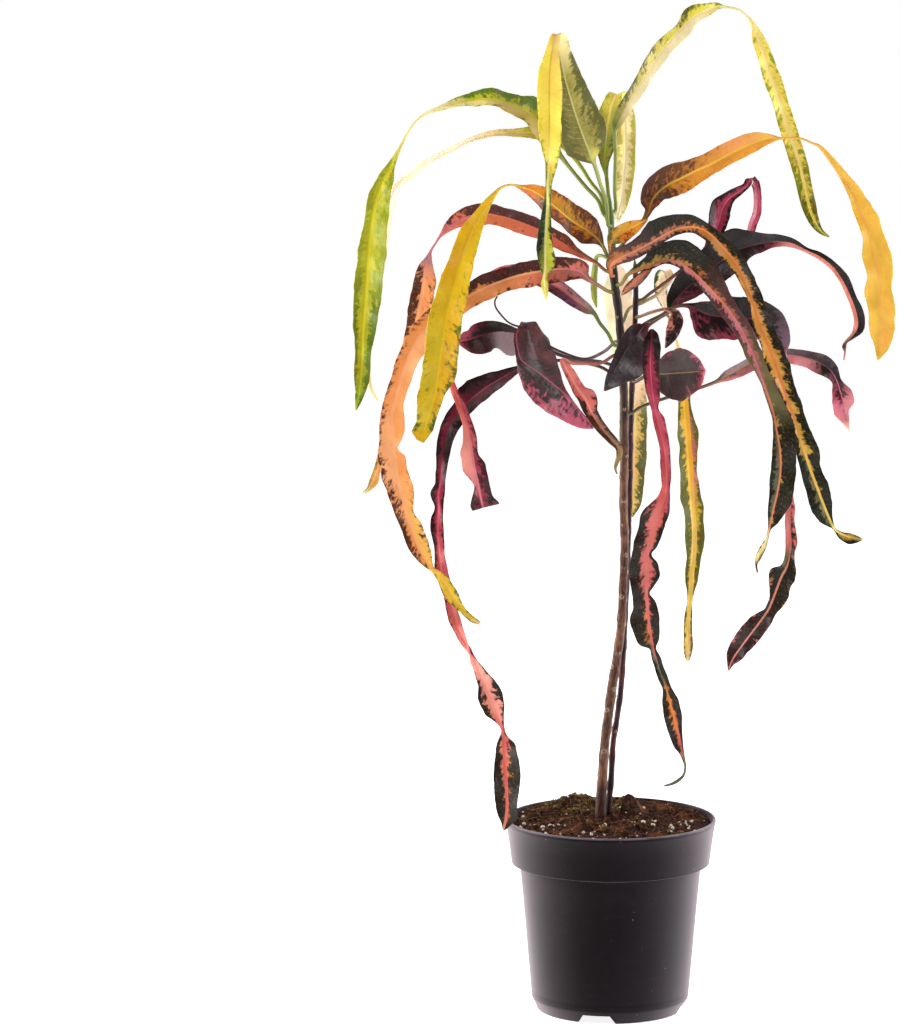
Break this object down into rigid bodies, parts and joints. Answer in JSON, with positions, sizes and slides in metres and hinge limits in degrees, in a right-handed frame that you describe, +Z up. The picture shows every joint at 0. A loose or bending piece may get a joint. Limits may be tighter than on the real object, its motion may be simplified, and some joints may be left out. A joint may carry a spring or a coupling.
{
  "type": "potted croton",
  "caption": "Potted croton in a dark grey nursery pot: two slim stems and long twisted leaves, some narrowed to a bare midrib, in yellow, orange, crimson and dark green.",
  "frame": {"origin": "middle of the pot's foot, on the floor", "axes": "+Z up along the stems, -Y towards the viewer of the picture, +X to that viewer's right"},
  "size_m": [0.4301, 0.228, 0.8089],
  "materials": {
    "pot_plastic": "dark grey moulded plastic with a satin sheen",
    "potting_soil": "damp peat and coir with white grains",
    "bark": "grey-brown bark with pale leaf scars",
    "young_bark": "smooth dark maroon bark",
    "leaf_lime": "waxy yellow-green leaf",
    "leaf_gold": "waxy golden yellow leaf with green flecks",
    "leaf_pale": "pale cream and peach leaf",
    "leaf_orange": "waxy orange leaf with dark blotches",
    "leaf_coral": "waxy coral leaf with dark margins",
    "leaf_crimson": "waxy crimson leaf with black-green margins",
    "leaf_maroon": "waxy dark maroon leaf with crimson edges",
    "leaf_olive": "waxy dark olive leaf with an orange midrib"
  },
  "bodies": {
    "root": {"pot": "pot_plastic", "soil": "potting_soil", "main_stem": "bark", "second_stem": "young_bark", "crown_right_leaf": "leaf_lime", "crown_fold_leaf": "leaf_gold", "arch_left_leaf": "leaf_lime", "arch_left_back_leaf": "leaf_pale", "crown_back_leaf": "leaf_pale", "right_orange_leaf": "leaf_orange", "left_yellow_leaf": "leaf_gold", "crown_small_leaf": "leaf_orange", "right_front_leaf": "leaf_olive", "right_second_leaf": "leaf_olive", "back_magenta_leaf": "leaf_crimson", "back_dark_leaf": "leaf_maroon", "back_pink_leaf": "leaf_maroon", "front_purple_leaf": "leaf_maroon", "front_round_leaf": "leaf_maroon", "front_crimson_leaf": "leaf_crimson", "right_hanging_leaf": "leaf_maroon", "right_small_leaf": "leaf_maroon", "left_upper_leaf": "leaf_orange", "left_orange_leaf": "leaf_orange", "left_longest_leaf": "leaf_coral", "left_folded_leaf": "leaf_maroon", "front_pink_leaf": "leaf_coral", "left_curl_leaf": "leaf_maroon", "left_salmon_leaf": "leaf_coral", "back_yellow_leaf": "leaf_gold", "back_olive_leaf": "leaf_pale", "left_narrow_leaf": "leaf_lime", "front_bud_leaf": "leaf_coral"}
  },
  "joints": []
}
